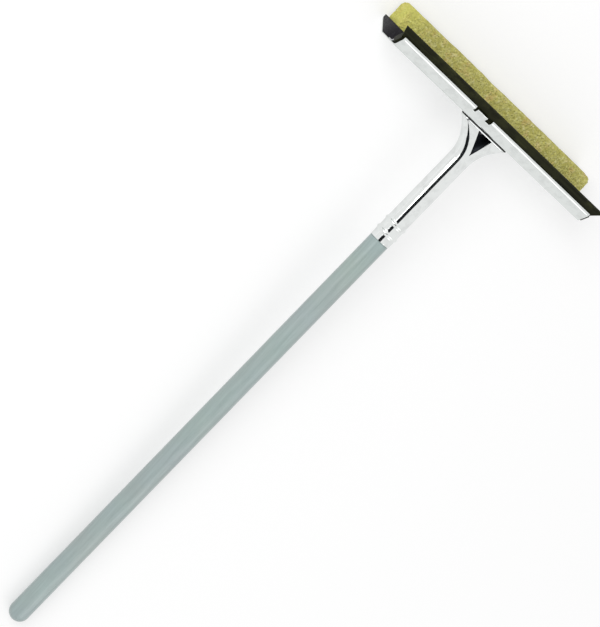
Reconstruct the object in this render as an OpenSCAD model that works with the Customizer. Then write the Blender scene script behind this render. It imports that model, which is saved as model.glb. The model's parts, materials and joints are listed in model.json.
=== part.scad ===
// Hand window scrubber: a painted wooden handle in a beaded steel neck, a folded
// chromed channel, a rubber blade along its front and a sponge along its back.
// Each piece is drawn lengthwise: X along the head, Y along the handle away from the
// grip, Z from the handle's axis towards the blade side. The whole tool is then laid
// down on Z = 0, on the channel's back lip and the end of the handle.

/* [Handle] */
// Diameter of the wooden dowel
handle_d = 19.05; // [16:0.05:25.4]
// Length of the dowel, with the part inside the neck
handle_len = 508; // [300:1:1200]
// How far the dowel goes into the neck
socket_depth = 51; // [30:1:70]
// How much the dowel is turned down all round inside the neck
tenon_step = 0.6; // [0.4:0.1:1]
// Gap between the dowel's shoulder and the neck's mouth
shoulder_gap = 0.4; // [0.2:0.1:1]

/* [Neck] */
// Length of the neck from its mouth to the foot pad
neck_len = 125; // [100:1:200]
// Thickness of the neck's sheet
neck_wall = 1; // [0.6:0.1:1.5]
// Clearance all round between the dowel and the neck
socket_gap = 0.03; // [0.01:0.01:0.1]
// Number of rolled beads near the mouth
bead_count = 2; // [1:1:3]
// Distance from the mouth to the first bead's middle
bead_start = 8.8; // [6:0.2:12]
// Distance from one bead to the next
bead_pitch = 10.4; // [8:0.2:12]
// Height of a bead above the neck
bead_h = 1.1; // [0.5:0.1:1.6]
// Radius of the arc that a bead is rolled to
bead_r = 2.2; // [1.8:0.1:3]
// Length of the flared legs
flare_len = 30; // [24:1:45]
// Width of the foot along the head
foot_w = 53.5; // [50:0.5:70]
// Depth of the foot from front to back
foot_depth = 16; // [13:0.5:16]
// How far the foot's middle lies behind the handle's axis
foot_back = 1.5; // [1.5:0.1:3]
// Thickness of the foot's plate
foot_t = 1.2; // [0.8:0.1:2]
// Width of the window between the legs, at the foot
window_w = 16.4; // [14:0.2:18]
// Height of the window between the legs
window_h = 20.5; // [14:0.5:22]

/* [Foot pad and rivets] */
// Thickness of the pad between the neck and the channel
pad_t = 1.2; // [1:0.1:3]
// How far the pad stands out round the foot
pad_rim = 0.4; // [0:0.1:0.5]
// Diameter of a rivet's shank
rivet_d = 3.6; // [3:0.1:4]
// Diameter of a rivet's heads
rivet_head_d = 5.6; // [5:0.1:5.8]
// Height of a rivet's domed head in the neck
rivet_dome_h = 2.4; // [1.5:0.1:3]
// Height of a rivet's flat head in the channel
rivet_flat_h = 1.2; // [0.8:0.1:2]
// Distance from the middle rivet to each outer one
rivet_pitch = 16; // [13:0.5:16.5]
// How far the rivets lie behind the handle's axis
rivet_back = 4.2; // [4.1:0.1:4.6]
// Clearance all round a rivet's shank
rivet_gap = 0.1; // [0.05:0.05:0.2]

/* [Jaw strip] */
// Width of the jaw strip's foot beyond the rivets' heads
jaw_edge = 0.4; // [0:0.1:0.5]

/* [Channel] */
// Length of the folded channel
channel_len = 240; // [200:1:400]
// Thickness of the channel's sheet and of the jaw strip
sheet_t = 1; // [0.8:0.1:1.1]
// Radius of a bend at the middle of the sheet
bend_r = 1.6; // [1.2:0.1:1.8]
// Height of the blade's mouth above the channel's outer face
mouth_h = 12.3; // [11.5:0.1:13.5]
// Distance from the handle's axis to the middle of the blade's mouth
mouth_n = 13.5; // [13:0.1:14.5]
// Angle between the blade and the handle
blade_lean = 40; // [36:1:42]
// How far the front lip and the jaw's lip turn in over the blade's root
lip_turn = 1.45; // [1.3:0.05:1.5]
// Length of each turned lip along the blade
lip_len = 1.5; // [1.3:0.1:1.7]
// Height of the sloping back wall
back_rise = 9; // [7:0.5:11]
// Depth of the sloping back wall from front to back
back_run = 18.8; // [15:0.2:20]
// Height of the upright back lip
back_lip = 3.5; // [2.5:0.5:5]

/* [Gripping tongue] */
// Distance from the middle of the head to the slit at the tongue's left
slit_x = -28.5; // [-32:0.5:-26]
// Width of that slit
slit_w = 2.4; // [1.5:0.1:3]
// Distance from the middle of the head to the notch at the tongue's right
notch_x = -12; // [-16:0.5:-8]
// Width of that notch
notch_w = 5.6; // [3:0.2:7]
// Depth of the slit and the notch below the mouth
notch_depth = 4.6; // [3:0.2:6]

/* [Blade] */
// How far the blade's working edge stands out past each end of the channel
blade_over = 7; // [4:0.5:10]
// How far the blade's root stands out past each end of the channel
root_over = 2; // [0:0.5:3]
// Thickness of the blade outside the channel
blade_t = 2.6; // [2:0.1:3]
// How far the blade stands out of the mouth
blade_reach = 7.8; // [5:0.1:14]
// Thickness of the blade's root
root_t = 5.6; // [5:0.1:6.5]
// Height of the blade's root
root_w = 9.4; // [6:0.1:9.6]
// Clearance between the root and the pocket, all round
blade_gap = 0.2; // [0.15:0.05:0.3]

/* [Sponge and its retainer] */
// Thickness of the sponge from front to back
sponge_t = 25.4; // [20:0.2:32]
// Height of the sponge's top above the channel's outer face
sponge_top = 33.4; // [24:0.2:45]
// Distance from the handle's axis back to the sponge's front face
sponge_set = 17.2; // [16.6:0.1:18]
// Radius of the sponge's long edges
sponge_edge_r = 4; // [2:0.5:8]
// Radius of the sponge's upper corners, seen from the blade side
sponge_corner_r = 5; // [2:0.5:9]
// Thickness of the retainer strip
retainer_t = 0.8; // [0.6:0.1:1]
// Height of the retainer strip
retainer_h = 10; // [7:0.5:11]
// Width of the retainer's foot on the channel
retainer_foot = 8; // [5:0.1:8.1]
// Clearance round the sponge in the channel
sponge_gap = 0.25; // [0.2:0.05:0.5]

/* [End plugs] */
// Thickness of an end plug's plate
plug_t = 2.4; // [1.5:0.1:4]
// Depth of the boss that holds an end plug
plug_depth = 12; // [8:0.5:20]
// Height of an end plug's boss above the channel's outer face
plug_boss_top = 9; // [6:0.5:10]
// Clearance round an end plug
plug_gap = 0.25; // [0.2:0.05:0.4]

/* [Hidden] */
$fn = 64;

// Facets of the neck's flare, and how it swells
flare_rings = 12;
flare_sides = 40;
flare_power = 2.3;
flare_square = 0.5;
// The flare's skin starts inside the tube's wall and ends inside the foot's plate
flare_seat = 0.15;
flare_lap = 1;
flare_in = 0.3;
// Chords of a bend in a sheet, and of a sheet's rounded edge
bend_steps = 8;
edge_steps = 6;
// What is cut away reaches this far past what it is cut from
over = 1;

handle_r = handle_d / 2;
tenon_r = handle_r - tenon_step;
neck_bore_r = tenon_r + socket_gap;
neck_r = neck_bore_r + neck_wall;

// Stations along the handle, from the channel's outer face at 0 towards the grip
pad_y = -pad_t;
plate_y = pad_y - foot_t;
flare_y = plate_y - flare_len;
mouth_y = pad_y - neck_len;
shoulder_y = mouth_y - shoulder_gap;
handle_top_y = mouth_y + socket_depth;
butt_y = handle_top_y - handle_len + handle_r;

// The blade's root and its longer working edge
root_len = channel_len + 2 * root_over;
blade_len = channel_len + 2 * blade_over;

// Sheet faces inside the channel
floor_y = sheet_t;
jaw_floor_y = floor_y + sheet_t;

// The blade's pocket: u runs up the blade from the mouth, v from its middle to the front
function pocket(u, v) = [
    mouth_h + u * cos(blade_lean) - v * sin(blade_lean),
    mouth_n + u * sin(blade_lean) + v * cos(blade_lean)
];
// The u at which the line of one v has the height y
function pocket_u(y, v) = (y - mouth_h + v * sin(blade_lean)) / cos(blade_lean);
function pocket_at(y, v) = pocket(pocket_u(y, v), v);

wall_v = root_t / 2 + blade_gap + sheet_t / 2;
lip_v = wall_v - lip_turn;
root_u = -lip_len - blade_gap - sheet_t / 2;
slant_u = root_u + blade_gap;
jaw_back_v = -wall_v - sheet_t / 2 - plug_gap;

// The channel's section, along the middle of the sheet
front_bend = pocket_at(sheet_t / 2, wall_v);
back_n = -sponge_set - sponge_t - sponge_gap - sheet_t / 2;
back_bend = [sheet_t / 2, back_n + back_run];
lip_bend = [sheet_t / 2 + back_rise, back_n];
lip_end = [sheet_t / 2 + back_rise + back_lip, back_n];
front_top = pocket(-lip_len, wall_v);
front_lip = pocket(0, lip_v);

// The jaw strip's section
jaw_base_n = -rivet_back - rivet_head_d / 2 - jaw_edge;
jaw_bend = pocket_at(floor_y + sheet_t / 2, -wall_v);
jaw_top = pocket(-lip_len, -wall_v);
jaw_lip = pocket(0, -lip_v);

// The sloping back wall's inner face, moved in by a gap: its y at one n and its n at one y
lip_slope = atan2(back_rise, back_run);
function wall_y(n, gap) =
    sheet_t / 2 + (sheet_t / 2 + gap) / cos(lip_slope) + (back_bend[1] - n) * tan(lip_slope);
function wall_n(y, gap) = back_bend[1] - (y - wall_y(back_bend[1], gap)) / tan(lip_slope);

// Lying on the table: the lip's outer bend and the dome of the handle both touch it
lip_turn_angle = 90 - lip_slope;
touch_y = lip_bend[0] + bend_r * tan(lip_turn_angle / 2);
touch_n = back_n + bend_r;
touch_r = bend_r + sheet_t / 2;
span_y = touch_y - butt_y;
rest_tilt = atan2(-touch_n, span_y) - asin((handle_r - touch_r) / norm([span_y, touch_n]));
lift = handle_r - butt_y * sin(rest_tilt);
far_y = (sponge_top - sponge_edge_r) * cos(rest_tilt) + sponge_edge_r
      + (sponge_set + sponge_t - sponge_edge_r) * sin(rest_tilt);
near_y = butt_y * cos(rest_tilt) - handle_r;

// Lays a piece on the table, with the middle of the tool's outline over the origin
module laid() {
    translate([0, -(far_y + near_y) / 2, lift])
        rotate([rest_tilt, 0, 0])
            children();
}

// Runs a section in the plane of the handle and the blade along the head
module along_head(length) {
    rotate([90, 0, 90])
        linear_extrude(height = length, center = true)
            children();
}

// Turns a shape round the handle's axis
module round_handle() {
    rotate([90, 0, 0])
        rotate_extrude()
            children();
}

function unit(a, b) = (b - a) / norm(b - a);
function to_left(d) = [-d[1], d[0]];
function heading(d) = atan2(d[1], d[0]);
function polar(r, angle) = r * [cos(angle), sin(angle)];
function bend_angle(a, b, c) =
    let (p = unit(a, b), q = unit(b, c))
    atan2(p[0] * q[1] - p[1] * q[0], p[0] * q[0] + p[1] * q[1]);

// The points round one bend of a sheet, at a distance to the left of its middle
function bend_points(a, b, c, r, off) =
    let (
        turn = bend_angle(a, b, c),
        side = sign(turn),
        start = b - unit(a, b) * r * tan(abs(turn) / 2),
        centre = start + side * r * to_left(unit(a, b)),
        from = heading(unit(a, b)) - side * 90
    )
    [for (k = [0:bend_steps]) centre + polar(r - side * off, from + turn * k / bend_steps)];

// One face of a folded sheet, from its first edge to its last
function sheet_side(points, r, off) =
    let (last = len(points) - 1)
    [
        points[0] + off * to_left(unit(points[0], points[1])),
        for (i = [1:1:last - 1]) each bend_points(points[i - 1], points[i], points[i + 1], r, off),
        points[last] + off * to_left(unit(points[last - 1], points[last]))
    ];

// The rounded edge of a sheet, from its left face to its right face
function sheet_edge(tip, d, thickness) =
    [for (k = [1:edge_steps - 1]) tip + polar(thickness / 2, heading(d) + 90 - 180 * k / edge_steps)];

function backwards(list) = [for (i = [len(list) - 1:-1:0]) list[i]];

// A folded sheet in section, drawn along its middle
module folded_sheet(points, thickness, r) {
    last = len(points) - 1;
    polygon(concat(
        sheet_side(points, r, thickness / 2),
        sheet_edge(points[last], unit(points[last - 1], points[last]), thickness),
        backwards(sheet_side(points, r, -thickness / 2)),
        sheet_edge(points[0], unit(points[1], points[0]), thickness)
    ));
}

module handle() {
    color([0.63, 0.69, 0.68])
        laid()
            round_handle()
                intersection() {
                    union() {
                        translate([0, -handle_top_y])
                            square([tenon_r, handle_top_y - butt_y]);
                        translate([0, -shoulder_y])
                            square([handle_r, shoulder_y - butt_y]);
                        translate([0, -butt_y])
                            circle(handle_r);
                    }
                    translate([0, -handle_top_y])
                        square([handle_r, handle_len]);
                }
}

// The neck's tube and its beads
module neck_tube() {
    bead_in = neck_r + bead_h - bead_r;
    round_handle() {
        translate([neck_bore_r, -flare_y - flare_lap])
            square([neck_wall, flare_y + flare_lap - mouth_y]);
        for (i = [0:bead_count - 1])
            translate([bead_in, -mouth_y - bead_start - i * bead_pitch])
                intersection() {
                    circle(bead_r);
                    translate([neck_r - neck_wall / 2 - bead_in, -bead_r])
                        square([bead_r, 2 * bead_r]);
                }
    }
}

// A point of the flare: along is 0 at the tube and 1 at the foot
function flare_point(along, angle, inset) =
    let (
        skin = inset + flare_seat * (1 - along) + flare_in * along,
        wide = neck_r + (foot_w / 2 - neck_r) * pow(along, flare_power) - skin,
        deep = neck_r + (foot_depth / 2 - neck_r) * along * along - skin,
        power = 2 / (2 + flare_square * along),
        c = cos(angle),
        s = sin(angle)
    )
    [
        wide * sign(c) * pow(abs(c), power),
        flare_y + (flare_len + flare_in) * along,
        -foot_back * along * along + deep * sign(s) * pow(abs(s), power)
    ];

// The flared shell as one closed skin: outer rings first, then inner rings
module flare_shell() {
    points = [
        for (inset = [0, neck_wall])
            for (i = [0:flare_rings])
                for (k = [0:flare_sides - 1])
                    flare_point(i / flare_rings, 360 * k / flare_sides, inset)
    ];
    inner = (flare_rings + 1) * flare_sides;
    end = flare_rings * flare_sides;
    faces = [
        for (i = [0:flare_rings - 1])
            for (k = [0:flare_sides - 1])
                let (
                    m = (k + 1) % flare_sides,
                    a = i * flare_sides + k,
                    b = i * flare_sides + m,
                    c = a + flare_sides,
                    d = b + flare_sides
                )
                each [[a, b, d], [a, d, c], [inner + b, inner + a, inner + c], [inner + b, inner + c, inner + d]],
        for (k = [0:flare_sides - 1])
            let (m = (k + 1) % flare_sides)
            each [
                [k, inner + k, inner + m],
                [k, inner + m, m],
                [end + k, inner + end + m, inner + end + k],
                [end + k, end + m, inner + end + m]
            ]
    ];
    polyhedron(points, faces);
}

// The foot's outline, with its middle behind the handle's axis
module foot_outline(rim) {
    r = foot_depth / 2 + rim;
    translate([0, foot_back])
        for (side = [-1, 1]) {
            translate([side * (foot_w / 2 + rim - r), 0])
                circle(r);
            translate([min(0, side * (foot_w / 2 + rim - r)), -r])
                square([foot_w / 2 + rim - r, 2 * r]);
        }
}

// A layer of the foot, from one station towards the head
module foot_layer(y, thickness, rim) {
    translate([0, y, 0])
        rotate([-90, 0, 0])
            linear_extrude(height = thickness)
                difference() {
                    foot_outline(rim);
                    rivet_holes();
                }
}

module at_rivets() {
    for (i = [-1:1])
        translate([i * rivet_pitch, rivet_back])
            children();
}

module rivet_holes() {
    at_rivets()
        circle(rivet_d / 2 + rivet_gap);
}

// The window between the two legs: it is cut through the front wall and the back is whole
module neck_window() {
    translate([0, 0, -foot_back])
        linear_extrude(height = foot_depth + over)
            polygon([
                [-window_w / 2, plate_y],
                [window_w / 2, plate_y],
                [0, plate_y - window_h]
            ]);
}

module neck() {
    color([0.86, 0.88, 0.89])
        laid() {
            neck_tube();
            difference() {
                flare_shell();
                neck_window();
            }
            foot_layer(plate_y, foot_t, 0);
        }
}

module foot_pad() {
    color([0.05, 0.05, 0.055])
        laid()
            foot_layer(pad_y, pad_t, pad_rim);
}

// Half of a rivet's section: a dome in the neck, the shank and a flat head in the channel
module rivet_section() {
    dome_r = (pow(rivet_head_d / 2, 2) + pow(rivet_dome_h, 2)) / (2 * rivet_dome_h);
    translate([0, plate_y])
        square([rivet_d / 2, jaw_floor_y - plate_y]);
    translate([0, jaw_floor_y])
        square([rivet_head_d / 2, rivet_flat_h]);
    intersection() {
        translate([0, plate_y - rivet_dome_h + dome_r])
            circle(dome_r);
        translate([0, plate_y - rivet_dome_h])
            square([rivet_head_d / 2, rivet_dome_h]);
    }
}

module foot_rivets() {
    color([0.7, 0.71, 0.72])
        laid()
            for (i = [-1:1])
                translate([i * rivet_pitch, 0, -rivet_back])
                    rotate([-90, 0, 0])
                        rotate_extrude()
                            rivet_section();
}

// A box across the mouth, from the notch's bottom to past the lips
module mouth_cut(x, width) {
    translate([x - width / 2, 0, 0])
        rotate([90, 0, 90])
            linear_extrude(height = width)
                polygon([
                    pocket(-notch_depth, wall_v - sheet_t),
                    pocket(-notch_depth, wall_v + sheet_t),
                    pocket(over, wall_v + sheet_t),
                    pocket(over, lip_v - sheet_t),
                    pocket(-lip_len - sheet_t, lip_v - sheet_t)
                ]);
}

module spine_holes() {
    translate([0, -over, 0])
        rotate([-90, 0, 0])
            linear_extrude(height = jaw_floor_y + 2 * over)
                rivet_holes();
}

module channel() {
    tongue_x = (slit_x + notch_x) / 2;
    tongue_w = notch_x - slit_x - (slit_w + notch_w) / 2;
    color([0.86, 0.88, 0.89])
        laid() {
            difference() {
                along_head(channel_len)
                    folded_sheet([lip_end, lip_bend, back_bend, front_bend, front_top, front_lip], sheet_t, bend_r);
                mouth_cut(tongue_x, tongue_w + slit_w + notch_w);
                spine_holes();
            }
            translate([tongue_x, 0, 0])
                along_head(tongue_w)
                    folded_sheet([pocket(-notch_depth, wall_v), pocket(-sheet_t / 2, wall_v)], sheet_t, bend_r);
        }
}

module jaw_strip() {
    color([0.8, 0.82, 0.83])
        laid()
            difference() {
                along_head(channel_len)
                    folded_sheet([[jaw_bend[0], jaw_base_n], jaw_bend, jaw_top, jaw_lip], sheet_t, bend_r);
                spine_holes();
            }
}

// The blade in section: the root in its pocket and the thinner blade
module blade_section() {
    polygon([
        pocket(root_u - root_w, -root_t / 2),
        pocket(root_u - root_w, root_t / 2),
        pocket(root_u, root_t / 2),
        pocket(root_u, blade_t / 2),
        pocket(blade_reach, blade_t / 2),
        pocket(blade_reach, -blade_t / 2),
        pocket(root_u, -blade_t / 2),
        pocket(root_u, -root_t / 2)
    ]);
}

// Its ends are square beside the root and slant out from just above it
module blade() {
    slant = blade_over - root_over;
    low = root_u - root_w - over;
    high = blade_reach + over;
    flare = slant * (high - slant_u) / (blade_reach - slant_u);
    color([0.05, 0.05, 0.055])
        laid()
            intersection() {
                along_head(blade_len + 2 * slant)
                    blade_section();
                translate([0, mouth_h, mouth_n])
                    rotate([blade_lean, 0, 0])
                        translate([0, 0, -root_t])
                            linear_extrude(height = 2 * root_t)
                                polygon([
                                    [-root_len / 2, low],
                                    [root_len / 2, low],
                                    [root_len / 2, slant_u],
                                    [root_len / 2 + flare, high],
                                    [-root_len / 2 - flare, high],
                                    [-root_len / 2, slant_u]
                                ]);
            }
}

strip_len = channel_len - 2 * (plug_t + plug_gap);
retainer_n = -sponge_set + sponge_gap + retainer_t / 2;
retainer_y = floor_y + retainer_t / 2;

module sponge_retainer() {
    color([0.8, 0.82, 0.83])
        laid()
            along_head(strip_len)
                folded_sheet([
                    [retainer_y, retainer_n + retainer_foot],
                    [retainer_y, retainer_n],
                    [floor_y + retainer_h, retainer_n]
                ], retainer_t, bend_r);
}

// The sponge in section: it stands on the channel's floor and its back wall
module sponge_section() {
    front = -sponge_set;
    back = front - sponge_t;
    base = floor_y + sponge_gap;
    top = sponge_top - sponge_edge_r;
    polygon([
        [base, front],
        [base, wall_n(base, sponge_gap)],
        [wall_y(back, sponge_gap), back],
        [top, back],
        [top, front]
    ]);
    translate([top, back + sponge_edge_r])
        square([sponge_edge_r, sponge_t - 2 * sponge_edge_r]);
    for (n = [back + sponge_edge_r, front - sponge_edge_r])
        translate([top, n])
            circle(sponge_edge_r);
}

// The sponge seen from the blade side, with rounded upper corners
module sponge_outline(length) {
    r = sponge_corner_r;
    translate([-length / 2, 0])
        square([length, sponge_top - r]);
    translate([-length / 2 + r, 0])
        square([length - 2 * r, sponge_top]);
    for (side = [-1, 1])
        translate([side * (length / 2 - r), sponge_top - r])
            circle(r);
}

module sponge() {
    length = strip_len - 2 * sponge_gap;
    color([0.68, 0.68, 0.38])
        laid()
            intersection() {
                along_head(length)
                    sponge_section();
                translate([0, 0, -sponge_set - sponge_t - over])
                    linear_extrude(height = sponge_t + 2 * over)
                        sponge_outline(length);
            }
}

// An end plug in section: it closes the channel behind the blade's pocket
module plug_section() {
    base = floor_y + plug_gap;
    lip_n = back_n + sheet_t / 2 + plug_gap;
    top = lip_end[0];
    polygon([
        [base, jaw_base_n - sheet_t / 2 - plug_gap],
        [jaw_floor_y + plug_gap, jaw_base_n - sheet_t / 2 - plug_gap],
        pocket_at(jaw_floor_y + plug_gap, jaw_back_v),
        pocket_at(top, jaw_back_v),
        [top, lip_n],
        [wall_y(lip_n, plug_gap), lip_n],
        [base, wall_n(base, plug_gap)]
    ]);
}

// The boss between the jaw strip and the retainer, in section
module plug_boss() {
    back = retainer_n + retainer_t / 2 + plug_gap;
    base = jaw_floor_y + plug_gap;
    polygon([
        [base, back],
        pocket_at(base, jaw_back_v - plug_gap),
        pocket_at(plug_boss_top, jaw_back_v - plug_gap),
        [plug_boss_top, back]
    ]);
}

// The boss starts in the middle of the plate
module end_plug(side) {
    boss_len = plug_depth + plug_t / 2;
    color([0.06, 0.06, 0.065])
        laid() {
            translate([side * (channel_len - plug_t) / 2, 0, 0])
                along_head(plug_t)
                    plug_section();
            translate([side * (channel_len - plug_t - boss_len) / 2, 0, 0])
                along_head(boss_len)
                    plug_boss();
        }
}

module left_end_plug() {
    end_plug(-1);
}

module right_end_plug() {
    end_plug(1);
}

handle();
neck();
foot_pad();
foot_rivets();
channel();
jaw_strip();
blade();
sponge_retainer();
sponge();
left_end_plug();
right_end_plug();
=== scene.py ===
"""A hand window scrubber lying on a pale floor: lacquered dowel, beaded steel neck,
folded chromed channel, rubber blade and foam sponge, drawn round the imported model."""

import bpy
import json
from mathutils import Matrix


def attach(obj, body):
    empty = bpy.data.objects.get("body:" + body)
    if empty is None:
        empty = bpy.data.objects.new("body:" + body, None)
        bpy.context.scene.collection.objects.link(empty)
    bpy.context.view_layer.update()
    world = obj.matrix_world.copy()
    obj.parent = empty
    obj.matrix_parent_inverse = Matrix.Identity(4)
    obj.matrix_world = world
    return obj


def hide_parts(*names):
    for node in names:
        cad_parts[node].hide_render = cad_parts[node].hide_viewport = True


bl_info = {
    "name": "Window scrubber",
    "version": (1, 0, 0),
    "blender": (4, 5, 0),
    "location": "3D View > Sidebar > Scrubber",
    "description": "Builds a hand window scrubber round its packed model",
    "category": "Object",
}

import json
import math
from contextlib import contextmanager
from types import SimpleNamespace

import bmesh
import bpy
from bpy.props import FloatProperty, FloatVectorProperty, IntProperty, PointerProperty
from bpy.types import NodeSocket
from mathutils import Matrix, Vector, noise

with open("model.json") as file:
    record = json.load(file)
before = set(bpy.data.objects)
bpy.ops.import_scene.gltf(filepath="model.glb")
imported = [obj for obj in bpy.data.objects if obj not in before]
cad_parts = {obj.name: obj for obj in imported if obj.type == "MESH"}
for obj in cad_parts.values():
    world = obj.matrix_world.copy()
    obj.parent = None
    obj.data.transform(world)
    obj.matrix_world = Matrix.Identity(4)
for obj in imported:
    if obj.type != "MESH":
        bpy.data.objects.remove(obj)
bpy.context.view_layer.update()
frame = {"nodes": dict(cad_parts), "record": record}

MM = 0.001
GRIP = next(m for m in frame["record"]["mounts"] if m["name"] == "grip")
# The tool's own frame: x along the head, h along the handle away from the grip,
# n from the handle's axis towards the blade side
ALONG = -Vector(GRIP["axis"]).normalized()
FRONT = Vector((0, -ALONG.z, ALONG.y))
NECK_LEN = 125.0
PAD_T = 1.2
SHOULDER_GAP = 0.4
GRIP_LEN = GRIP["dims"]["length_mm"]
GRIP_MIDDLE = PAD_T + NECK_LEN + SHOULDER_GAP + GRIP_LEN / 2
HEAD = Vector(GRIP["pos_m"]) + MM * GRIP_MIDDLE * ALONG

LEAN = math.radians(40.0)
RIVETS = 3
FLARE_POWER = 2.3
FLARE_SQUARE = 0.5

# The photograph's camera in the tool's own frame, in millimetres and degrees
CAMERA_AT = (-873.1, 28.8, 1620.4)
CAMERA_AIM = (-5.1, -204.3, 0.0)
CAMERA_ROLL = 44.15
CAMERA_FOCAL_PX = 2200.0
CAMERA_CENTRE_PX = (311.2, 303.2)
IMAGE_PX = (600, 627)
SENSOR_MM = 36.0


def length(name, description, default):
    """A length in metres that a user can change."""
    return FloatProperty(name=name, description=description, default=default, unit="LENGTH")


def paint(name, description, default):
    """A colour that a user can change."""
    return FloatVectorProperty(name=name, description=description, default=default,
                               subtype="COLOR", min=0, max=1)


def light(name, description, default):
    """A strength of light that a user can change."""
    return FloatProperty(name=name, description=description, default=default, min=0)


class ScrubberSizes(bpy.types.PropertyGroup):
    """Sizes that the pieces are drawn from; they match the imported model."""

    handle_d: length("Handle diameter", "Diameter of the dowel", 2 * GRIP["dims"]["r_mm"] * MM)
    socket_depth: length("Socket depth", "How far the dowel goes into the neck", 0.051)
    tenon_step: length("Tenon step", "How much the dowel is turned down in the neck", 0.0006)
    socket_gap: length("Socket gap", "Clearance all round the dowel's tenon", 0.00003)
    neck_wall: length("Neck wall", "Thickness of the neck's sheet", 0.001)
    bead_start: length("First bead", "From the neck's mouth to the first bead", 0.0088)
    bead_pitch: length("Bead pitch", "From one bead to the next", 0.0104)
    bead_h: length("Bead height", "Height of a bead above the neck", 0.0011)
    bead_half: length("Bead half width", "Half of a bead's width along the neck", 0.0022)
    flare_len: length("Flare length", "Length of the flared legs", 0.030)
    foot_w: length("Foot width", "Width of the foot along the head", 0.0535)
    foot_depth: length("Foot depth", "Depth of the foot from front to back", 0.016)
    foot_back: length("Foot set back", "How far the foot's middle lies behind the axis", 0.0015)
    foot_t: length("Foot thickness", "Thickness of the foot's plate", 0.0012)
    window_w: length("Window width", "Width of the window between the legs", 0.0164)
    window_h: length("Window height", "Height of the window between the legs", 0.0205)
    rivet_d: length("Rivet diameter", "Diameter of a rivet's shank", 0.0036)
    rivet_head_d: length("Rivet head", "Diameter of a rivet's heads", 0.0056)
    rivet_dome_h: length("Rivet dome", "Height of a rivet's domed head", 0.0024)
    rivet_flat_h: length("Rivet flat head", "Height of a rivet's flat head", 0.0012)
    rivet_pitch: length("Rivet pitch", "From one rivet to the next", 0.016)
    rivet_back: length("Rivets set back", "How far the rivets lie behind the axis", 0.0042)
    jaw_edge: length("Jaw strip edge", "Jaw strip's foot beyond the rivets' heads", 0.0004)
    channel_len: length("Channel length", "Length of the folded channel", 0.240)
    sheet_t: length("Sheet thickness", "Thickness of the channel's sheet", 0.001)
    bend_r: length("Bend radius", "Radius of a bend at the middle of the sheet", 0.0016)
    mouth_h: length("Mouth height", "Height of the blade's mouth above the channel", 0.0123)
    mouth_n: length("Mouth set forward", "From the axis to the blade's mouth", 0.0135)
    lip_turn: length("Lip turn", "How far the jaws turn in over the root", 0.00145)
    lip_len: length("Lip length", "Length of each turned lip along the blade", 0.0015)
    back_rise: length("Back wall height", "Height of the sloping back wall", 0.009)
    back_run: length("Back wall depth", "Depth of the sloping back wall", 0.0188)
    back_lip: length("Back lip", "Height of the upright back lip", 0.0035)
    slit_x: length("Slit place", "From the head's middle to the tongue's slit", -0.0285)
    slit_w: length("Slit width", "Width of the tongue's slit", 0.0024)
    notch_x: length("Notch place", "From the head's middle to the tongue's notch", -0.012)
    notch_w: length("Notch width", "Width of the tongue's notch", 0.0056)
    notch_depth: length("Notch depth", "Depth of slit and notch below the mouth", 0.0046)
    blade_over: length("Blade overhang", "Working edge past each end of the channel", 0.007)
    root_over: length("Root overhang", "Blade's root past each end of the channel", 0.002)
    blade_t: length("Blade thickness", "Thickness of the blade outside the channel", 0.0026)
    blade_reach: length("Blade reach", "How far the blade stands out of the mouth", 0.0078)
    root_t: length("Root thickness", "Thickness of the blade's root", 0.0056)
    root_w: length("Root height", "Height of the blade's root", 0.0094)
    blade_gap: length("Blade gap", "Clearance between the root and its pocket", 0.0002)
    sponge_t: length("Sponge thickness", "Thickness of the sponge, front to back", 0.0254)
    sponge_set: length("Sponge set back", "From the axis back to the sponge's front", 0.0172)
    sponge_gap: length("Sponge gap", "Clearance round the sponge in the channel", 0.00025)
    retainer_t: length("Retainer thickness", "Thickness of the retainer strip", 0.0008)
    retainer_h: length("Retainer height", "Height of the retainer strip", 0.010)
    retainer_foot: length("Retainer foot", "Width of the retainer's foot", 0.008)
    plug_t: length("Plug thickness", "Thickness of an end plug's plate", 0.0024)
    plug_depth: length("Plug boss depth", "Depth of an end plug's boss", 0.012)
    plug_boss_top: length("Plug boss height", "Height of an end plug's boss", 0.009)
    plug_gap: length("Plug gap", "Clearance round an end plug", 0.00025)


class ScrubberLooks(bpy.types.PropertyGroup):
    """Colours and light that a user would change."""

    lacquer: paint("Lacquer", "Colour of the handle's lacquer", (0.335, 0.42, 0.41))
    chrome: paint("Chrome", "Tint of the channel's plating", (0.70, 0.725, 0.71))
    # A lighter copy of the channel's plating: the extra brightness is painted light, for the neck
    # lit more brightly.
    lit_neck_chrome: paint("Neck chrome", "Tint of the neck's plating", (0.75, 0.77, 0.76))
    foam: paint("Foam", "Colour of the sponge", (0.60, 0.565, 0.17))
    foam_pale: paint("Foam, pale", "Colour of the sponge's worn walls", (0.80, 0.77, 0.36))
    foam_tan: paint("Foam, tan", "Colour of the sponge's warm patches", (0.68, 0.53, 0.19))
    # Paler colour over the sponge's left end: painted light, for the end face lit more brightly
    # than the front.
    foam_lit_end: paint("Foam, end", "Colour of the sponge's left end", (0.84, 0.83, 0.20))
    rubber: paint("Rubber", "Colour of the blade", (0.007, 0.0075, 0.003))
    plastic: paint("Plastic", "Colour of the end plugs", (0.012, 0.011, 0.014))
    beads: IntProperty(name="Beads", description="Number of rolled beads near the neck's mouth",
                       default=2, min=1, max=3)
    key_watts: light("Key light", "Power of the key light", 13.0)
    fill_watts: light("Fill light", "Power of the fill light", 5.0)
    sky: light("Sky", "Strength of the soft light from all round", 0.62)


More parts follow.
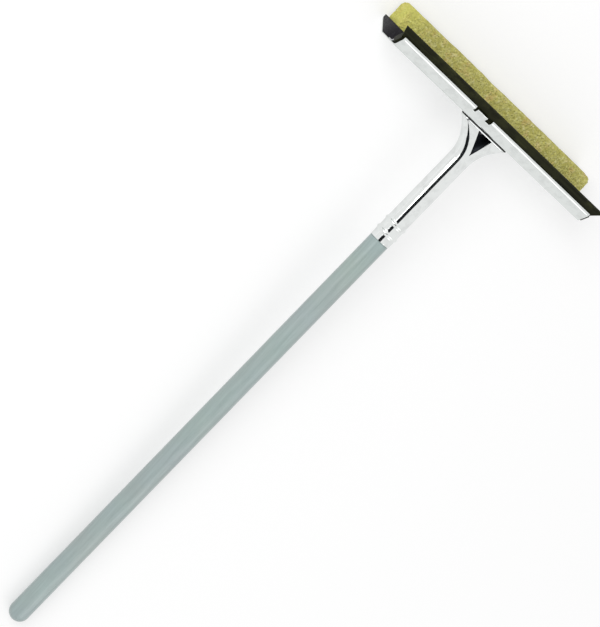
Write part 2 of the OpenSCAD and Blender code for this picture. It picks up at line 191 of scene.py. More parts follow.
def sizes():
    """Every size of the tool as a plain number of millimetres, with what follows from them."""
    group = bpy.context.scene.scrubber_sizes
    names = ScrubberSizes.__annotations__
    s = SimpleNamespace(**{name: getattr(group, name) / MM for name in names})
    s.neck_r = s.handle_d / 2 - s.tenon_step + s.socket_gap + s.neck_wall
    s.mouth_y = -PAD_T - NECK_LEN
    s.plate_y = -PAD_T - s.foot_t
    s.flare_y = s.plate_y - s.flare_len
    s.apex_y = s.plate_y - s.window_h
    s.wall_v = s.root_t / 2 + s.blade_gap + s.sheet_t / 2
    s.root_u = -s.lip_len - s.blade_gap - s.sheet_t / 2
    s.back_n = -s.sponge_set - s.sponge_t - s.sponge_gap - s.sheet_t / 2
    s.back_bend_n = s.back_n + s.back_run
    s.lip_slope = math.atan2(s.back_rise, s.back_run)
    s.jaw_floor = 2 * s.sheet_t
    s.jaw_base_n = -s.rivet_back - s.rivet_head_d / 2 - s.jaw_edge
    s.retainer_n = -s.sponge_set + s.sponge_gap + s.retainer_t / 2
    s.strip_len = s.channel_len - 2 * (s.plug_t + s.plug_gap)
    return s


def looks():
    return bpy.context.scene.scrubber_looks


def laid(x, h, n):
    """A point of the tool's own frame, in millimetres, as a place in the row frame."""
    return HEAD + MM * (Vector((x, 0, 0)) + h * ALONG + n * FRONT)


def unlaid(place):
    """A place in the row frame as a point of the tool's own frame, in millimetres."""
    arm = (place - HEAD) / MM
    return arm.x, arm.dot(ALONG), arm.dot(FRONT)


def pocket(s, u, v):
    """A point of the blade's pocket: u up the blade from the mouth, v towards the front."""
    return (s.mouth_h + u * math.cos(LEAN) - v * math.sin(LEAN),
            s.mouth_n + u * math.sin(LEAN) + v * math.cos(LEAN))


def pocket_at(s, h, v):
    """The point of the line of one v that has the height h."""
    u = (h - s.mouth_h + v * math.sin(LEAN)) / math.cos(LEAN)
    return pocket(s, u, v)


def wall_h(s, n, gap):
    """Height of the sloping back wall's inner face at n, moved in by a gap."""
    half = s.sheet_t / 2
    rise = (s.back_bend_n - n) * math.tan(s.lip_slope)
    return half + (half + gap) / math.cos(s.lip_slope) + rise


def wall_n(s, h, gap):
    """The n at which that face has the height h."""
    return s.back_bend_n - (h - wall_h(s, s.back_bend_n, gap)) / math.tan(s.lip_slope)


def run_to(path, end, step):
    """Adds a straight run to a path in even steps."""
    start = path[-1]
    count = max(1, round((end - start).length / step))
    path.extend(start.lerp(end, k / count) for k in range(1, count + 1))


def arc_corner(a, b, c, radius, steps):
    """The arc that rounds the corner b between a and c."""
    p, q = (b - a).normalized(), (c - b).normalized()
    turn = math.atan2(p.x * q.y - p.y * q.x, p.dot(q))
    start = b - p * radius * math.tan(abs(turn) / 2)
    centre = start + math.copysign(radius, turn) * Vector((-p.y, p.x))
    arm = start - centre
    return [centre + Matrix.Rotation(turn * k / steps, 2) @ arm for k in range(steps + 1)]


def folded(points, radius, steps=10, step=3.0):
    """The middle line of a folded sheet, with an arc at each corner."""
    points = [Vector(p) for p in points]
    path = [points[0]]
    for a, b, c in zip(points, points[1:], points[2:]):
        arc = arc_corner(a, b, c, radius, steps)
        run_to(path, arc[0], step)
        path.extend(arc[1:])
    run_to(path, points[-1], step)
    return path


def rounded(points, radius, steps):
    """A closed outline with its corners rounded."""
    points = [Vector(p) for p in points]
    count = len(points)
    outline = []
    for i, b in enumerate(points):
        outline.extend(arc_corner(points[i - 1], b, points[(i + 1) % count], radius, steps))
    return outline


def placed(name, data):
    """A new object for the data, in the scene."""
    made = bpy.data.objects.new(name, data)
    bpy.context.scene.collection.objects.link(made)
    return made


def new_piece(name, points, faces):
    """A mesh object from points of the tool's own frame."""
    mesh = bpy.data.meshes.new(name)
    mesh.from_pydata([laid(*p) for p in points], [], faces)
    return placed(name, mesh)


@contextmanager
def edited(mesh):
    """The mesh's points and faces to work on, written back at the end."""
    work = bmesh.new()
    work.from_mesh(mesh)
    yield work
    work.to_mesh(mesh)
    work.free()


def fix_faces(piece):
    """Turns a closed mesh's faces outwards."""
    with edited(piece.data) as work:
        bmesh.ops.remove_doubles(work, verts=work.verts, dist=1e-7)
        bmesh.ops.recalc_face_normals(work, faces=work.faces)


def drop_loose(work):
    """Deletes the points that no face uses."""
    bmesh.ops.delete(work, geom=[v for v in work.verts if not v.link_faces], context="VERTS")


def thicken(piece, thickness, offset=0.0):
    """Gives an open sheet its thickness, in millimetres."""
    solid = piece.modifiers.new("Thickness", "SOLIDIFY")
    solid.thickness = thickness * MM
    solid.offset = offset
    solid.use_even_offset = True


def soften(piece, width, segments=2, angle=50):
    """Rounds the sharp edges of a piece by a width in millimetres."""
    edge = piece.modifiers.new("Edges", "BEVEL")
    edge.width = width * MM
    edge.segments = segments
    edge.limit_method = "ANGLE"
    edge.angle_limit = math.radians(angle)


def baked(piece, sharp=35):
    """Makes the modifiers part of the mesh, smooth but for its sharp edges."""
    graph = bpy.context.evaluated_depsgraph_get()
    mesh = bpy.data.meshes.new_from_object(piece.evaluated_get(graph))
    piece.modifiers.clear()
    piece.data = mesh
    mesh.shade_smooth()
    mesh.set_sharp_from_angle(angle=math.radians(sharp))
    return piece


def joined(pieces, name):
    """One object made of several, with all their faces."""
    mesh = bpy.data.meshes.new(name)
    with edited(mesh) as work:
        for piece in pieces:
            work.from_mesh(piece.data)
    for piece in pieces:
        bpy.data.objects.remove(piece)
    return placed(name, mesh)


def finish_piece(piece, slot, body, *nodes, finish=None):
    """Gives a piece its finish, named by the slot unless another finish is given, hides the nodes
    it stands for and hangs it on its body.
    """
    piece.data.materials.clear()
    piece.data.materials.append(finish_of(finish or slot))
    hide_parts(*nodes)
    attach(piece, body)


def tube_faces(rings, count, is_open=None):
    """Quads round a run of rings of count points each, but where they are left open."""
    return [[i * count + k, i * count + (k + 1) % count,
             (i + 1) * count + (k + 1) % count, (i + 1) * count + k]
            for i in range(rings - 1) for k in range(count) if not (is_open and is_open(i, k))]


def revolved(name, profile, sides=96):
    """A piece turned round the handle's axis from (h, r) pairs; r is 0 only at its ends."""
    points, rings = [], []
    for h, r in profile:
        count = sides if r > 0 else 1
        rings.append(range(len(points), len(points) + count))
        for k in range(count):
            a = 2 * math.pi * k / sides
            points.append((r * math.cos(a), h, r * math.sin(a)))
    faces = []
    for low, high in zip(rings, rings[1:]):
        for k in range(sides):
            m = (k + 1) % sides
            quad = [ring[j % len(ring)] for ring, j in ((low, k), (low, m), (high, m), (high, k))]
            faces.append(list(dict.fromkeys(quad)))
    return new_piece(name, points, faces)


def prism(name, outline, place, ends, edge):
    """A solid run of a closed outline between two ends, with softened rims."""
    count = len(outline)
    points = [place(a, b, end) for end in ends for a, b in outline]
    caps = [list(range(count)), list(range(2 * count - 1, count - 1, -1))]
    piece = new_piece(name, points, tube_faces(2, count) + caps)
    fix_faces(piece)
    soften(piece, edge)
    return baked(piece)


def across(h, n, x):
    """Places an outline of (h, n) at x."""
    return (x, h, n)


def upright(x, n, h):
    """Places an outline of (x, n) at h."""
    return (x, h, n)


def node(tree, kind, inputs=None, **settings):
    """A new node with its settings, and its inputs set or linked."""
    made = tree.nodes.new(kind)
    for key, value in settings.items():
        setattr(made, key, value)
    feed(tree, made, inputs or {})
    return made


def feed(tree, made, inputs):
    """Sets a node's inputs, and links those whose value is a socket."""
    for key, value in inputs.items():
        if isinstance(value, NodeSocket):
            tree.links.new(value, made.inputs[key])
        else:
            made.inputs[key].default_value = value


def plain_tree(owner):
    """The empty node tree of a world or a material."""
    owner.use_nodes = True
    owner.node_tree.nodes.clear()
    return owner.node_tree


def maths(tree, operation, first, second):
    """The result of a sum of two numbers or sockets, as a socket."""
    return node(tree, "ShaderNodeMath", {0: first, 1: second}, operation=operation).outputs["Value"]


def ranged(tree, value, low, high, to_low=0.0, to_high=1.0, smooth=False):
    """A value's run from low to high laid over another range, as a socket."""
    return node(tree, "ShaderNodeMapRange",
                {"Value": value, "From Min": low, "From Max": high,
                 "To Min": to_low, "To Max": to_high},
                interpolation_type="SMOOTHSTEP" if smooth else "LINEAR").outputs["Result"]


def cloud(tree, where, scale, detail=2.0, roughness=0.5, distortion=0.0):
    """A soft noise over the surface."""
    return node(tree, "ShaderNodeTexNoise",
                {"Vector": where, "Scale": scale, "Detail": detail, "Roughness": roughness,
                 "Distortion": distortion})


def cells(tree, where, scale):
    """Distance from the middle of the nearest cell, as a socket."""
    return node(tree, "ShaderNodeTexVoronoi",
                {"Vector": where, "Scale": scale}).outputs["Distance"]


def mixed(tree, factor, first, second, blend="MIX"):
    """A colour between two, each a colour or a socket, as a socket."""
    first, second = (end if isinstance(end, NodeSocket) else (*end, 1.0)
                     for end in (first, second))
    return node(tree, "ShaderNodeMix", {"Factor": factor, 6: first, 7: second},
                data_type="RGBA", blend_type=blend).outputs[2]


def group_tree(name, kind, inputs, outputs):
    """A node group with named sockets, and its two end nodes."""
    tree = bpy.data.node_groups.new(name, kind)
    for label, socket_type, value in inputs:
        socket = tree.interface.new_socket(label, in_out="INPUT", socket_type=socket_type)
        if value is not None:
            socket.default_value = value
    for label, socket_type in outputs:
        tree.interface.new_socket(label, in_out="OUTPUT", socket_type=socket_type)
    return tree, node(tree, "NodeGroupInput"), node(tree, "NodeGroupOutput")


def handling_group():
    """Finger smudges and fine rubbing marks: a roughness and a mask over the surface."""
    tree, start, end = group_tree(
        "Handling marks", "ShaderNodeTree",
        [("Vector", "NodeSocketVector", None), ("Patch Scale", "NodeSocketFloat", 40.0),
         ("Smooth", "NodeSocketFloat", 0.1), ("Dull", "NodeSocketFloat", 0.25)],
        [("Roughness", "NodeSocketFloat"), ("Mask", "NodeSocketFloat")])
    given = start.outputs
    patches = cloud(tree, given["Vector"], given["Patch Scale"], 5.0, 0.62).outputs["Fac"]
    soft = ranged(tree, patches, 0.42, 0.68, smooth=True)
    feed(tree, end, {"Roughness": ranged(tree, soft, 0.0, 1.0, given["Smooth"], given["Dull"]),
                     "Mask": soft})
    return tree


def drawn_group():
    """Fine lines along one direction, as rolling, drawing or grain leaves them."""
    tree, start, end = group_tree(
        "Drawn lines", "ShaderNodeTree",
        [("Vector", "NodeSocketVector", None), ("Stretch", "NodeSocketVector", (1.0, 1.0, 1.0)),
         ("Line Scale", "NodeSocketFloat", 800.0)],
        [("Height", "NodeSocketFloat"), ("Mask", "NodeSocketFloat")])
    given = start.outputs
    drawn = node(tree, "ShaderNodeVectorMath", {0: given["Vector"], 1: given["Stretch"]},
                 operation="MULTIPLY")
    lines = cloud(tree, drawn.outputs["Vector"], given["Line Scale"], 3.0, 0.55).outputs["Fac"]
    feed(tree, end, {"Height": lines, "Mask": ranged(tree, lines, 0.35, 0.65)})
    return tree


def marks_on(tree, where, scale, smooth, dull):
    """The handling marks in a material, with its own values."""
    group = bpy.data.node_groups.get("Handling marks") or handling_group()
    return node(tree, "ShaderNodeGroup",
                {"Vector": where, "Patch Scale": scale, "Smooth": smooth, "Dull": dull},
                node_tree=group).outputs


def lines_on(tree, where, stretch, scale):
    """The drawn lines in a material, with its own values."""
    group = bpy.data.node_groups.get("Drawn lines") or drawn_group()
    return node(tree, "ShaderNodeGroup",
                {"Vector": where, "Stretch": stretch, "Line Scale": scale},
                node_tree=group).outputs


def new_material(name):
    """A material with its surface shader, its output and its Object coordinates."""
    material = bpy.data.materials.new(name)
    tree = plain_tree(material)
    surface = node(tree, "ShaderNodeBsdfPrincipled")
    node(tree, "ShaderNodeOutputMaterial", {"Surface": surface.outputs["BSDF"]})
    where = node(tree, "ShaderNodeTexCoord").outputs["Object"]
    return material, tree, surface, where


def bump(tree, surface, height, distance, strength, under=None):
    """Feeds a height to the surface's normal, over another bump if there is one."""
    below = {} if under is None else {"Normal": under.outputs["Normal"]}
    made = node(tree, "ShaderNodeBump",
                {"Height": height, "Distance": distance, "Strength": strength, **below})
    feed(tree, surface, {"Normal": made.outputs["Normal"]})
    return made


def shade(colour, factor):
    return tuple(min(1.0, c * factor) for c in colour)


def lacquered_wood():
    """Satin lacquer over a turned dowel: faint long grain, soft mottling and rubbed places."""
    material, tree, surface, where = new_material("lacquered_wood_finish")
    colour = looks().lacquer
    grain = lines_on(tree, where, (1.0, 0.035, 1.0), 620.0)
    marks = marks_on(tree, where, 55.0, 0.36, 0.52)
    broad = cloud(tree, where, 16.0, 4.0).outputs
    grained = mixed(tree, grain["Mask"], shade(colour, 0.93), shade(colour, 1.05))
    mottled = mixed(tree, 0.13, grained, broad["Color"], "SOFT_LIGHT")
    level = node(tree, "ShaderNodeHueSaturation", {"Saturation": 0.95, "Color": mottled})
    feed(tree, surface, {"Base Color": level.outputs["Color"], "Roughness": marks["Roughness"],
                         "Coat Weight": 0.8, "Coat Roughness": 0.28})
    low = bump(tree, surface, broad["Fac"], 0.0003, 0.25)
    bump(tree, surface, grain["Height"], 0.00006, 0.5, low)
    return material


def chrome_plate(name, colour):
    """Bright plating on rolled sheet: slightly wavy, with smudges and hairlines; faces marked
    inside the neck are painted near black, partly bare steel and partly painted shade.
    """
    material, tree, surface, where = new_material(name)
    # Near black for the marked faces: bare steel, darkened far below real steel as painted shade.
    shaded_bare_steel = (0.05, 0.055, 0.065)
    marks = marks_on(tree, where, 130.0, 0.05, 0.1)
    hair = lines_on(tree, where, (0.05, 1.0, 1.0), 900.0)
    stained = mixed(tree, marks["Mask"], shade(colour, 1.03), shade(colour, 0.93))
    inside = node(tree, "ShaderNodeAttribute", attribute_name="inside").outputs["Fac"]
    dull = node(tree, "ShaderNodeMix", {"Factor": inside, "A": marks["Roughness"], "B": 0.45})
    feed(tree, surface, {"Base Color": mixed(tree, inside, stained, shaded_bare_steel),
                         "Metallic": 1.0, "Roughness": dull.outputs["Result"]})
    wave = cloud(tree, where, 75.0).outputs["Fac"]
    low = bump(tree, surface, wave, 0.0006, 0.18)
    bump(tree, surface, hair["Height"], 0.00002, 0.25, low)
    return material


def rolled_steel(name, colour, smooth, dull):
    """Plain rolled steel, duller than the plating."""
    material, tree, surface, where = new_material(name)
    marks = marks_on(tree, where, 90.0, smooth, dull)
    lines = lines_on(tree, where, (0.03, 1.0, 1.0), 1500.0)
    feed(tree, surface, {"Base Color": mixed(tree, lines["Mask"], shade(colour, 0.85), colour),
                         "Metallic": 1.0, "Roughness": marks["Roughness"]})
    bump(tree, surface, lines["Height"], 0.00003, 0.4)
    return material


def moulded_rubber(name, colour, dusty):
    """Smooth black rubber with a pale bloom and a fine skin."""
    material, tree, surface, where = new_material(name)
    marks = marks_on(tree, where, 60.0, 0.38, 0.62)
    skin = cloud(tree, where, 2600.0, 3.0).outputs["Fac"]
    lines = lines_on(tree, where, (0.02, 1.0, 1.0), 500.0)
    bloom = mixed(tree, marks["Mask"], colour, shade(colour, dusty))
    feed(tree, surface, {"Base Color": mixed(tree, lines["Mask"], bloom, shade(colour, 2.6)),
                         "Specular IOR Level": 0.06, "Roughness": marks["Roughness"]})
    bump(tree, surface, skin, 0.00004, 0.5)
    return material


def plug_plastic():
    """Moulded black plastic with a slight gloss and a fine sparked texture."""
    material, tree, surface, where = new_material("plug_plastic_finish")
    colour = looks().plastic
    marks = marks_on(tree, where, 160.0, 0.22, 0.42)
    feed(tree, surface, {"Base Color": mixed(tree, marks["Mask"], colour, shade(colour, 1.6)),
                         "Specular IOR Level": 0.03, "Roughness": marks["Roughness"]})
    bump(tree, surface, cells(tree, where, 2600.0), 0.00005, 0.5)
    return material


def foam():
    """Open-cell foam: pores darkened as painted shade, pale torn walls, broad patches of use, and a
    left end paled as painted light.
    """
    material, tree, surface, where = new_material("sponge_foam_finish")
    colour, lit_end_from, lit_end_to, lit_end_share = looks().foam, -0.085, -0.118, 0.55
    strokes = lines_on(tree, where, (0.45, 1.0, 1.0), 420.0)
    torn = cloud(tree, where, 300.0, 4.0, 0.7, 0.8).outputs["Fac"]
    warm = cloud(tree, where, 75.0, 3.0, 0.6).outputs["Fac"]
    deep = ranged(tree, cells(tree, where, 620.0), 0.05, 0.5)
    patch = ranged(tree, warm, 0.5, 0.66, smooth=True)
    frayed = ranged(tree, torn, 0.5, 0.68)
    tinted = mixed(tree, patch, colour, looks().foam_tan)
    worn = mixed(tree, frayed, tinted, looks().foam_pale)
    fibres = mixed(tree, 0.3, worn, strokes["Mask"], "SOFT_LIGHT")
    # Pore centres darkened to 0.72 of the foam's colour: painted shade in the pits.
    pore_shaded = mixed(tree, deep, shade(colour, 0.72), fibres)
    x = node(tree, "ShaderNodeSeparateXYZ", {"Vector": where}).outputs["X"]
    # The left end blends towards the paler end colour: painted light, for the end face lit from the
    # left.
    end = ranged(tree, x, lit_end_from, lit_end_to, 0.0, lit_end_share, smooth=True)
    feed(tree, surface, {"Base Color": mixed(tree, end, pore_shaded, looks().foam_lit_end),
                         "Roughness": 0.95, "Specular IOR Level": 0.1})
    low = bump(tree, surface, deep, 0.0006, 0.8)
    bump(tree, surface, torn, 0.0010, 0.7, low)
    return material


def finish_of(name):
    """A finish by its name, made once."""
    makers = {
        "lacquered_wood": lacquered_wood,
        "chrome": lambda: chrome_plate("chrome_finish", looks().chrome),
        "lit_neck_chrome": lambda: chrome_plate("lit_neck_chrome_finish", looks().lit_neck_chrome),
        "strip_steel": lambda: rolled_steel("strip_steel_finish", (0.55, 0.56, 0.57), 0.24, 0.4),
        "rivet_steel": lambda: rolled_steel("rivet_steel_finish", (0.42, 0.42, 0.45), 0.3, 0.5),
        "black_rubber": lambda: moulded_rubber("black_rubber_finish", (0.018, 0.018, 0.018), 1.6),
        "blade_rubber": lambda: moulded_rubber("blade_rubber_finish", tuple(looks().rubber), 6.0),
        "plug_plastic": plug_plastic,
        "sponge_foam": foam,
    }
    return bpy.data.materials.get(name + "_finish") or makers[name]()


class SCRUBBER_OT_handle(bpy.types.Operator):
    """Builds the turned dowel with its rounded end and its tenon."""

    bl_idname = "scrubber.handle"
    bl_label = "Handle"

    def execute(self, context):
        s = sizes()
        r = s.handle_d / 2
        top = s.mouth_y + s.socket_depth
        shoulder = s.mouth_y - SHOULDER_GAP
        butt = shoulder - GRIP_LEN
        dome_steps, body_steps, chamfer, wobble = 18, 90, 0.15, 0.04
        profile = [(butt - r * math.cos(a), r * math.sin(a))
                   for a in (math.pi / 2 * k / dome_steps for k in range(dome_steps + 1))]
        for k in range(1, body_steps + 1):
            h = butt + (shoulder - chamfer - butt) * k / body_steps
            turned = wobble * (1 + noise.noise(Vector((h * 0.02, 0.7, 0.2)))) * (k < body_steps)
            profile.append((h, r - turned))
        tenon = r - s.tenon_step
        profile += [(shoulder, tenon), (top - chamfer, tenon), (top, tenon - chamfer), (top, 0.0)]
        piece = revolved("handle_dowel", profile)
        fix_faces(piece)
        baked(piece)
        finish_piece(piece, "lacquered_wood", "tool", "handle")
        return {"FINISHED"}


def bead_rise(s, h):
    """How far the rolled beads stand out of the tube at h."""
    rise = 0.0
    for i in range(looks().beads):
        off = abs(h - s.mouth_y - s.bead_start - i * s.bead_pitch) / s.bead_half
        if off < 1:
            rise = s.bead_h * (0.5 + 0.5 * math.cos(math.pi * off)) ** 0.8
    return rise


def neck_ring(s, h, arc, middle):
    """One ring of the neck at h: right leg, front, left leg, back, as (x, n) points."""
    along = min(1.0, max(0.0, (h - s.flare_y) / s.flare_len))
    rise = bead_rise(s, h)
    wide = s.neck_r + rise + (s.foot_w / 2 - s.neck_r) * along ** FLARE_POWER
    deep = s.neck_r + rise + (s.foot_depth / 2 - s.neck_r) * along ** 2
    power = 2 / (2 + FLARE_SQUARE * along)
    slot = max(0.5, s.window_w / 2 * (h - s.apex_y) / s.window_h)
    edge = math.acos((slot / wide) ** (1 / power))
    spans = [(-edge, edge, arc), (edge, math.pi - edge, middle),
             (math.pi - edge, math.pi + edge, arc), (math.pi + edge, 2 * math.pi - edge, middle)]
    ring = []
    for start, end, count in spans:
        for k in range(count):
            a = start + (end - start) * k / count
            c, d = math.cos(a), math.sin(a)
            n = -s.foot_back * along ** 2 + deep * math.copysign(abs(d) ** power, d)
            ring.append((wide * math.copysign(abs(c) ** power, c), n))
    return ring


def neck_stations(s):
    """Heights of the neck's rings: close at the mouth, the beads and the flare."""
    rim, bead_step = 0.6, 0.35
    tube_steps, flare_steps, window_steps = 24, 10, 22
    stations = [s.mouth_y, s.mouth_y + rim]
    bead_end = s.mouth_y + s.bead_start + (looks().beads - 1) * s.bead_pitch + s.bead_half
    h = s.mouth_y + 2 * rim
    while h < bead_end + 1:
        stations.append(h)
        h += bead_step
    for start, end, count in ((stations[-1], s.flare_y, tube_steps),
                              (s.flare_y, s.apex_y, flare_steps),
                              (s.apex_y, s.plate_y, window_steps)):
        stations += [start + (end - start) * k / count for k in range(1, count + 1)]
    return stations


def neck_shell(s):
    """The neck's skin, open at both ends and at the window, with the sheet's thickness."""
    arc, middle = 30, 8
    stations = neck_stations(s)
    points = [(x, h, n) for h in stations for x, n in neck_ring(s, h, arc, middle)]

    def in_window(i, k):
        return arc <= k < arc + middle and stations[i] >= s.apex_y - 1e-6

    faces = tube_faces(len(stations), 2 * (arc + middle), in_window)
    piece = new_piece("neck_shell", points, faces)
    with edited(piece.data) as work:
        drop_loose(work)
        bmesh.ops.recalc_face_normals(work, faces=work.faces)
    centre = laid(0, s.mouth_y, 0)
    first = piece.data.polygons[0]
    if first.normal.dot(first.center - centre) < 0:
        piece.data.flip_normals()
    thicken(piece, s.neck_wall, -1.0)
    soften(piece, 0.28, 3, 60)
    return baked(piece)


def mark_inside(piece, s):
    """Marks the faces inside the neck, which the plating hasn't reached, and the foot's faces under
    the window, for the finish to paint near black: partly bare steel, partly painted shade that
    darkens the window between the legs.
    """
    inside = piece.data.attributes.new("inside", "FLOAT", "FACE")
    for face in piece.data.polygons:
        x, h, n = unlaid(face.center)
        middle = -s.foot_back * min(1.0, max(0.0, (h - s.flare_y) / s.flare_len)) ** 2
        away = face.center - laid(0, h, middle)
        wide = s.foot_w / 2 - 3 * s.neck_wall
        # The foot's faces under the window get the same near black, there as painted shade only.
        under = face.normal.dot(ALONG) < -0.8 and h > s.flare_y and abs(x) < wide
        inside.data[face.index].value = float(under or face.normal.dot(away.normalized()) < -0.3)


def stadium(half, radius, shift, steps=20):
    """An outline with straight sides and round ends, its middle set back by a shift."""
    turns = [(side, side * math.pi / 2 - math.pi * k / steps)
             for side in (1, -1) for k in range(steps + 1)]
    return [(side * (half - radius) + radius * math.cos(a), radius * math.sin(a) - shift)
            for side, a in turns]


class SCRUBBER_OT_neck(bpy.types.Operator):
    """Builds the beaded tube with its flared legs, its window and its foot."""

    bl_idname = "scrubber.neck"
    bl_label = "Neck"

    def execute(self, context):
        s = sizes()
        outline = stadium(s.foot_w / 2, s.foot_depth / 2, s.foot_back)
        plate = prism("foot_plate", outline, upright, (s.plate_y, s.plate_y + s.foot_t), 0.35)
        piece = baked(joined([neck_shell(s), plate], "neck_tube"))
        mark_inside(piece, s)
        # The neck's plating is the lighter copy, its extra brightness painted light.
        finish_piece(piece, "chrome", "tool", "neck", finish="lit_neck_chrome")
        return {"FINISHED"}


def rivet_tree():
    """Geometry nodes that set rivets in a row: one for each point of a line."""
    tree, start, end = group_tree(
        "Row of rivets", "GeometryNodeTree",
        [("Geometry", "NodeSocketGeometry", None), ("Count", "NodeSocketInt", None),
         ("Pitch", "NodeSocketFloat", None), ("Finish", "NodeSocketMaterial", None)],
        [("Geometry", "NodeSocketGeometry")])
    count, pitch = start.outputs["Count"], start.outputs["Pitch"]
    first = maths(tree, "MULTIPLY", maths(tree, "SUBTRACT", count, 1.0), -0.5)
    begin = node(tree, "ShaderNodeCombineXYZ", {"X": maths(tree, "MULTIPLY", first, pitch)})
    step = node(tree, "ShaderNodeCombineXYZ", {"X": pitch})
    line = node(tree, "GeometryNodeMeshLine",
                {"Count": count, "Start Location": begin.outputs["Vector"],
                 "Offset": step.outputs["Vector"]})
    row = node(tree, "GeometryNodeInstanceOnPoints",
               {"Points": line.outputs["Mesh"], "Instance": start.outputs["Geometry"]})
    real = node(tree, "GeometryNodeRealizeInstances", {"Geometry": row.outputs["Instances"]})
    coated = node(tree, "GeometryNodeSetMaterial",
                  {"Geometry": real.outputs["Geometry"], "Material": start.outputs["Finish"]})
    feed(tree, end, {"Geometry": coated.outputs["Geometry"]})
    return tree


def set_inputs(modifier, values):
    """Sets a geometry modifier's inputs by the names of their sockets."""
    for item in modifier.node_group.interface.items_tree:
        if item.item_type == "SOCKET" and item.in_out == "INPUT" and item.name in values:
            modifier[item.identifier] = values[item.name]


def one_rivet(s):
    """A rivet in the middle of the row: domed head, shank and flat head."""
    head, shank, top = s.rivet_head_d / 2, s.rivet_d / 2, s.jaw_floor
    dome_r = (head ** 2 + s.rivet_dome_h ** 2) / (2 * s.rivet_dome_h)
    half_angle = math.asin(head / dome_r)
    base, steps, rim = s.plate_y - s.rivet_dome_h + dome_r, 10, 0.25
    end = top + s.rivet_flat_h
    dome = [half_angle * k / steps for k in range(steps + 1)]
    profile = [(base - dome_r * math.cos(a), dome_r * math.sin(a)) for a in dome]
    profile += [(s.plate_y, shank), (top, shank), (top, head), (end - rim, head),
                (end, head - rim), (end, 0.0)]
    piece = revolved("foot_rivet_row", profile, 32)
    for vertex in piece.data.vertices:
        vertex.co -= MM * s.rivet_back * FRONT
    fix_faces(piece)
    return piece


class SCRUBBER_OT_foot(bpy.types.Operator):
    """Builds the rubber pad under the neck's foot and the rivets that hold it."""

    bl_idname = "scrubber.foot"
    bl_label = "Foot pad and rivets"

    def execute(self, context):
        s = sizes()
        rim = 0.4
        outline = stadium(s.foot_w / 2 + rim, s.foot_depth / 2 + rim, s.foot_back)
        pad = prism("foot_gasket", outline, upright, (-PAD_T, 0.0), 0.3)
        finish_piece(pad, "black_rubber", "tool", "foot_pad")
        rivets = one_rivet(s)
        row = rivets.modifiers.new("Row", "NODES")
        row.node_group = rivet_tree()
        set_inputs(row, {"Count": RIVETS, "Pitch": s.rivet_pitch * MM,
                         "Finish": finish_of("rivet_steel")})
        finish_piece(baked(rivets), "rivet_steel", "tool", "foot_rivets")
        return {"FINISHED"}


def head_stations(s, extra):
    """The x of each column of a sheet along the head, with the extra ones exactly."""
    half, step = s.channel_len / 2, 4.0
    count = round(s.channel_len / step)
    even = [-half + step * k for k in range(count + 1)]
    clear = [x for x in even if all(abs(x - e) > step / 4 for e in extra)]
    return sorted(clear + list(extra))


def sheet_piece(name, columns, stations, thickness, is_cut=None):
    """A folded sheet along the head from its middle surface, with rounded edges."""
    rows = len(columns[0])
    points = [(x, *column[k]) for x, column in zip(stations, columns) for k in range(rows)]
    faces = []
    for i, (x, after) in enumerate(zip(stations, stations[1:])):
        for k in range(rows - 1):
            if not (is_cut and is_cut((x + after) / 2, k)):
                low, high = i * rows + k, (i + 1) * rows + k
                faces.append([low, high, high + 1, low + 1])
    piece = new_piece(name, points, faces)
    with edited(piece.data) as work:
        drop_loose(work)
    thicken(piece, thickness)
    soften(piece, 0.22, 2, 60)
    return baked(piece)


class SCRUBBER_OT_channel(bpy.types.Operator):
    """Builds the folded channel with its turned front lip and its gripping tongue."""

    bl_idname = "scrubber.channel"
    bl_label = "Channel"

    def execute(self, context):
        s = sizes()
        half, pressed = s.sheet_t / 2, 0.25
        notch_end = pocket(s, -s.notch_depth, s.wall_v)
        below = folded([(half + s.back_rise + s.back_lip, s.back_n), (half + s.back_rise, s.back_n),
                        (half, s.back_bend_n), pocket_at(s, half, s.wall_v), notch_end], s.bend_r)
        lip = folded([notch_end, pocket(s, -s.lip_len, s.wall_v),
                      pocket(s, 0, s.wall_v - s.lip_turn)], s.bend_r, 8, 1.2)[1:]
        shares = [(k + 1) / len(lip) for k in range(len(lip))]
        tongue = [Vector(pocket(s, -s.notch_depth + (s.notch_depth - half) * share,
                                s.wall_v - pressed * share ** 2)) for share in shares]
        slit = (s.slit_x - s.slit_w / 2, s.slit_x + s.slit_w / 2)
        notch = (s.notch_x - s.notch_w / 2, s.notch_x + s.notch_w / 2)
        stations = head_stations(s, slit + notch)
        columns = [below + (tongue if slit[1] <= x <= notch[0] else lip) for x in stations]

        def is_cut(x, k):
            in_gap = slit[0] < x < slit[1] or notch[0] < x < notch[1]
            return k >= len(below) - 1 and in_gap

        piece = sheet_piece("head_channel", columns, stations, s.sheet_t, is_cut)
        finish_piece(piece, "chrome", "tool", "channel")
        return {"FINISHED"}


def span_stations(length):
    """Even stations along a strip of that length."""
    count = round(length / 6)
    return [-length / 2 + length * k / count for k in range(count + 1)]


class SCRUBBER_OT_strips(bpy.types.Operator):
    """Builds the jaw strip behind the blade's root and the strip that holds the sponge."""

    bl_idname = "scrubber.strips"
    bl_label = "Inner strips"

    def execute(self, context):
        s = sizes()
        base = s.sheet_t + s.sheet_t / 2
        jaw = folded([(base, s.jaw_base_n), pocket_at(s, base, -s.wall_v),
                      pocket(s, -s.lip_len, -s.wall_v), pocket(s, 0, s.lip_turn - s.wall_v)],
                     s.bend_r, 8)
        foot = s.sheet_t + s.retainer_t / 2
        retainer = folded([(foot, s.retainer_n + s.retainer_foot), (foot, s.retainer_n),
                           (s.sheet_t + s.retainer_h, s.retainer_n)], s.bend_r, 8)
        for name, section, length, thickness, stands_for in (
                ("jaw_sheet", jaw, s.channel_len, s.sheet_t, "jaw_strip"),
                ("retainer_sheet", retainer, s.strip_len, s.retainer_t, "sponge_retainer")):
            stations = span_stations(length)
            piece = sheet_piece(name, [section] * len(stations), stations, thickness)
            finish_piece(piece, "strip_steel", "tool", stands_for)
        return {"FINISHED"}


